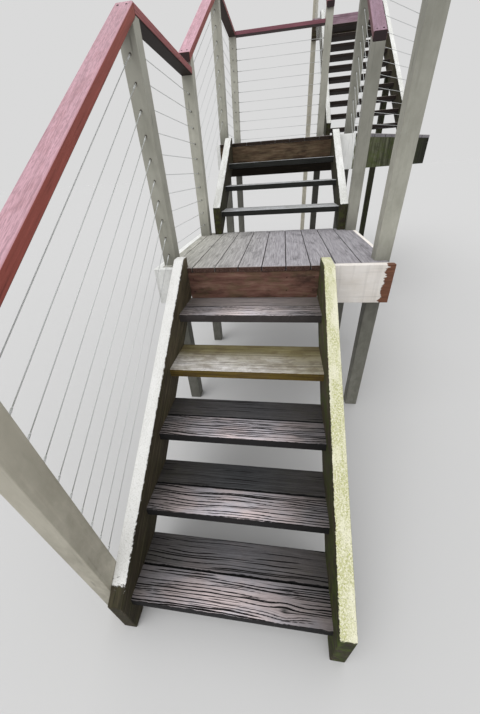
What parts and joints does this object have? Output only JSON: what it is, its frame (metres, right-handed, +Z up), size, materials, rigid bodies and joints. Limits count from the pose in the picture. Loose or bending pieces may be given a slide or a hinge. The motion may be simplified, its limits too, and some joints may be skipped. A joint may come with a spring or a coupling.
{
  "type": "wooden deck stairs",
  "caption": "Weathered open-tread timber deck stairs in flights with landings between, square posts, flat handrails and taut cable infill.",
  "frame": {"origin": "middle of the footprint, on the ground that the lowest flight stands on", "axes": "+X across the stairs to the climber's right, +Y the way the stairs climb, +Z up"},
  "size_m": [2.811, 7.62, 5.1949],
  "materials": {
    "post_paint": "olive grey paint, worn",
    "rail_timber": "oiled red-brown hardwood",
    "stringer_timber": "weathered timber, white paint on the top edge",
    "tread_timber": "weathered, cracked, unpainted",
    "landing_timber": "weathered grey boards",
    "riser_timber": "stained red-brown, unpainted",
    "fascia_paint": "white paint, worn",
    "frame_timber": "rough sawn, weathered",
    "cable_steel": "stainless wire rope"
  },
  "bodies": {
    "root": {"cables_flight": "cable_steel", "cables_landing": "cable_steel", "cables_lower": "cable_steel", "cables_middle_left": "cable_steel", "cables_middle_right": "cable_steel", "cables_splay": "cable_steel", "cables_upper_back": "cable_steel", "cables_upper_side": "cable_steel", "deck_edge_beam": "frame_timber", "deck_edge_boards": "landing_timber", "deck_edge_riser": "riser_timber", "handrail_flight": "rail_timber", "handrail_landing": "rail_timber", "handrail_lower": "rail_timber", "handrail_middle_left": "rail_timber", "handrail_middle_right": "rail_timber", "handrail_splay": "rail_timber", "handrail_upper_back": "rail_timber", "handrail_upper_side": "rail_timber", "landing_lower_boards": "landing_timber", "landing_lower_fascia_left": "fascia_paint", "landing_lower_fascia_right": "fascia_paint", "landing_lower_joists": "frame_timber", "landing_upper_boards": "landing_timber", "landing_upper_fascia_left": "fascia_paint", "landing_upper_fascia_right": "fascia_paint", "landing_upper_fascia_splay": "frame_timber", "landing_upper_joists": "frame_timber", "post_deck_left": "post_paint", "post_deck_right": "post_paint", "post_flight": "post_paint", "post_foot": "post_paint", "post_landing_left_back": "post_paint", "post_landing_left_front": "post_paint", "post_landing_right_back": "post_paint", "post_landing_right_front": "post_paint", "post_splay": "post_paint", "post_upper_back": "post_paint", "post_upper_left_back": "post_paint", "post_upper_left_front": "post_paint", "post_upper_right_front": "post_paint", "riser_lower": "riser_timber", "riser_middle": "riser_timber", "stringer_lower_left": "stringer_timber", "stringer_lower_right": "stringer_timber", "stringer_middle_left": "stringer_timber", "stringer_middle_right": "stringer_timber", "stringer_upper_left": "stringer_timber", "stringer_upper_right": "stringer_timber", "tread_lower_1": "tread_timber", "tread_lower_2": "tread_timber", "tread_lower_3": "tread_timber", "tread_lower_4": "tread_timber", "tread_lower_5": "tread_timber", "treads_middle": "tread_timber", "treads_upper": "tread_timber"}
  },
  "joints": []
}
